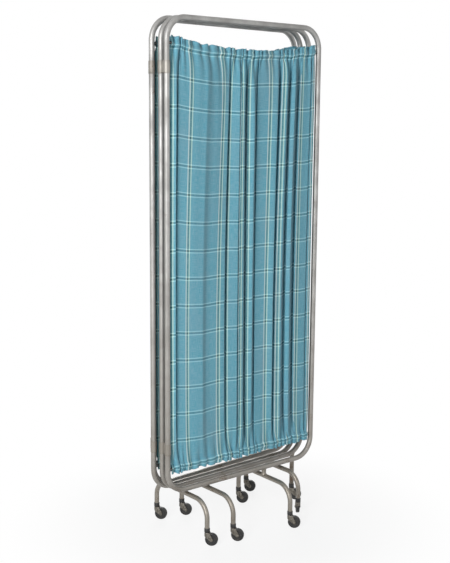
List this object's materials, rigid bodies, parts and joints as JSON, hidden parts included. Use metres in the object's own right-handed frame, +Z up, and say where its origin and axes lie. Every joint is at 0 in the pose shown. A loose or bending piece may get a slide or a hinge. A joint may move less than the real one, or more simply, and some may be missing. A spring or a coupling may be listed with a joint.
{
  "type": "folding ward privacy screen",
  "caption": "Folding ward privacy screen on castors: round tube leaves hinged at their sides, each with a gathered check curtain on sprung wires.",
  "frame": {"origin": "on the floor, under the middle of the folded screen's bounding box", "axes": "+Z up, +X along the front leaf from its hinged left tube to its right tube, -Y the way the front leaf faces"},
  "size_m": [0.7024, 0.4082, 1.7795],
  "materials": {
    "frame_metal": "worn bright plating, dulled and spotted",
    "foot_metal": "worn bright plating, browned near the floor",
    "hinge_metal": "worn bright plating",
    "castor_metal": "zinc plated pressing, dull",
    "black_tread": "plain black, slightly dusty",
    "spring_wire": "close-wound steel wire",
    "checked_cloth": "thin cotton with a woven blue check"
  },
  "bodies": {
    "leaf_1": {"frame_1": "frame_metal", "top_wire_1": "spring_wire", "bottom_wire_1": "spring_wire", "curtain_1": "checked_cloth", "arch_foot_1": "foot_metal", "saddle_1": "foot_metal"},
    "link_12": {"upper_hinge_12": "hinge_metal", "lower_hinge_12": "hinge_metal"},
    "leaf_2": {"frame_2": "frame_metal", "top_wire_2": "spring_wire", "bottom_wire_2": "spring_wire", "curtain_2": "checked_cloth", "arch_foot_2": "foot_metal", "saddle_2": "foot_metal", "post": "foot_metal"},
    "link_23": {"upper_hinge_23": "hinge_metal", "lower_hinge_23": "hinge_metal"},
    "leaf_3": {"frame_3": "frame_metal", "top_wire_3": "spring_wire", "bottom_wire_3": "spring_wire", "curtain_3": "checked_cloth", "arch_foot_3_left": "foot_metal", "saddle_3_left": "foot_metal", "arch_foot_3_right": "foot_metal", "saddle_3_right": "foot_metal"},
    "link_34": {"upper_hinge_34": "hinge_metal", "lower_hinge_34": "hinge_metal"},
    "leaf_4": {"frame_4": "frame_metal", "top_wire_4": "spring_wire", "bottom_wire_4": "spring_wire", "curtain_4": "checked_cloth"},
    "castor_1": {"castor_fork_1": "castor_metal", "castor_axle_1": "castor_metal"},
    "wheel_1": {"castor_wheel_1": "black_tread"},
    "castor_2": {"castor_fork_2": "castor_metal", "castor_axle_2": "castor_metal"},
    "wheel_2": {"castor_wheel_2": "black_tread"},
    "castor_3": {"castor_fork_3": "castor_metal", "castor_axle_3": "castor_metal"},
    "wheel_3": {"castor_wheel_3": "black_tread"},
    "castor_4": {"castor_fork_4": "castor_metal", "castor_axle_4": "castor_metal"},
    "wheel_4": {"castor_wheel_4": "black_tread"},
    "castor_5": {"castor_fork_5": "castor_metal", "castor_axle_5": "castor_metal"},
    "wheel_5": {"castor_wheel_5": "black_tread"},
    "castor_6": {"castor_fork_6": "castor_metal", "castor_axle_6": "castor_metal"},
    "wheel_6": {"castor_wheel_6": "black_tread"},
    "castor_7": {"castor_fork_7": "castor_metal", "castor_axle_7": "castor_metal"},
    "wheel_7": {"castor_wheel_7": "black_tread"},
    "castor_8": {"castor_fork_8": "castor_metal", "castor_axle_8": "castor_metal"},
    "wheel_8": {"castor_wheel_8": "black_tread"},
    "castor_9": {"castor_fork_9": "castor_metal", "castor_axle_9": "castor_metal"},
    "wheel_9": {"castor_wheel_9": "black_tread"}
  },
  "joints": [
    {"name": "link_12_on_leaf_1", "type": "hinge", "parent": "leaf_1", "child": "link_12", "pos_m": [-0.32235, -0.02591, 0], "axis": [0, 0, 1], "range_deg": [0, 180]},
    {"name": "leaf_2_on_link_12", "type": "hinge", "parent": "link_12", "child": "leaf_2", "pos_m": [-0.3229, 0.00509, 0], "axis": [0, 0, 1], "range_deg": [0, 100]},
    {"name": "link_23_on_leaf_2", "type": "hinge", "parent": "leaf_2", "child": "link_23", "pos_m": [0.33981, 0.02476, 0], "axis": [0, 0, -1], "range_deg": [0, 180]},
    {"name": "leaf_3_on_link_23", "type": "hinge", "parent": "link_23", "child": "leaf_3", "pos_m": [0.32293, 0.05075, 0], "axis": [0, 0, -1], "range_deg": [0, 55]},
    {"name": "link_34_on_leaf_3", "type": "hinge", "parent": "leaf_3", "child": "link_34", "pos_m": [-0.33981, 0.03224, 0], "axis": [0, 0, 1], "range_deg": [0, 180]},
    {"name": "leaf_4_on_link_34", "type": "hinge", "parent": "link_34", "child": "leaf_4", "pos_m": [-0.32293, 0.05824, 0], "axis": [0, 0, 1], "range_deg": [0, 100]},
    {"name": "castor_1_swivel", "type": "hinge", "parent": "leaf_3", "child": "castor_1", "pos_m": [-0.22596, 0.18248, 0.0225], "axis": [0, 0, 1], "continuous": true},
    {"name": "wheel_1_spin", "type": "hinge", "parent": "castor_1", "child": "wheel_1", "pos_m": [-0.21532, 0.17107, 0.0225], "axis": [0.7314, 0.682, 0], "continuous": true},
    {"name": "castor_2_swivel", "type": "hinge", "parent": "leaf_2", "child": "castor_2", "pos_m": [-0.13134, 0.15784, 0.0225], "axis": [0, 0, 1], "continuous": true},
    {"name": "wheel_2_spin", "type": "hinge", "parent": "castor_2", "child": "wheel_2", "pos_m": [-0.1207, 0.14643, 0.0225], "axis": [0.7314, 0.682, 0], "continuous": true},
    {"name": "castor_3_swivel", "type": "hinge", "parent": "leaf_3", "child": "castor_3", "pos_m": [-0.21775, -0.11141, 0.0225], "axis": [0, 0, 1], "continuous": true},
    {"name": "wheel_3_spin", "type": "hinge", "parent": "castor_3", "child": "wheel_3", "pos_m": [-0.20711, -0.12281, 0.0225], "axis": [0.7314, 0.682, 0], "continuous": true},
    {"name": "castor_4_swivel", "type": "hinge", "parent": "leaf_2", "child": "castor_4", "pos_m": [-0.12262, -0.13603, 0.0225], "axis": [0, 0, 1], "continuous": true},
    {"name": "wheel_4_spin", "type": "hinge", "parent": "castor_4", "child": "wheel_4", "pos_m": [-0.11198, -0.14744, 0.0225], "axis": [0.7314, 0.682, 0], "continuous": true},
    {"name": "castor_5_swivel", "type": "hinge", "parent": "leaf_1", "child": "castor_5", "pos_m": [0.10965, 0.12109, 0.0225], "axis": [0, 0, 1], "continuous": true},
    {"name": "wheel_5_spin", "type": "hinge", "parent": "castor_5", "child": "wheel_5", "pos_m": [0.12029, 0.10968, 0.0225], "axis": [0.7314, 0.682, 0], "continuous": true},
    {"name": "castor_6_swivel", "type": "hinge", "parent": "leaf_3", "child": "castor_6", "pos_m": [0.20787, 0.1946, 0.0225], "axis": [0, 0, 1], "continuous": true},
    {"name": "wheel_6_spin", "type": "hinge", "parent": "castor_6", "child": "wheel_6", "pos_m": [0.21851, 0.18319, 0.0225], "axis": [0.7314, 0.682, 0], "continuous": true},
    {"name": "castor_7_swivel", "type": "hinge", "parent": "leaf_1", "child": "castor_7", "pos_m": [0.10965, -0.17291, 0.0225], "axis": [0, 0, 1], "continuous": true},
    {"name": "wheel_7_spin", "type": "hinge", "parent": "castor_7", "child": "wheel_7", "pos_m": [0.12029, -0.18432, 0.0225], "axis": [0.7314, 0.682, 0], "continuous": true},
    {"name": "castor_8_swivel", "type": "hinge", "parent": "leaf_3", "child": "castor_8", "pos_m": [0.21608, -0.09929, 0.0225], "axis": [0, 0, 1], "continuous": true},
    {"name": "wheel_8_spin", "type": "hinge", "parent": "castor_8", "child": "wheel_8", "pos_m": [0.22568, -0.08699, 0.0225], "axis": [-0.788, 0.6157, 0], "continuous": true},
    {"name": "castor_9_swivel", "type": "hinge", "parent": "leaf_2", "child": "castor_9", "pos_m": [0.29383, 0.02339, 0.0225], "axis": [0, 0, 1], "continuous": true},
    {"name": "wheel_9_spin", "type": "hinge", "parent": "castor_9", "child": "wheel_9", "pos_m": [0.30447, 0.01198, 0.0225], "axis": [0.7314, 0.682, 0], "continuous": true}
  ]
}
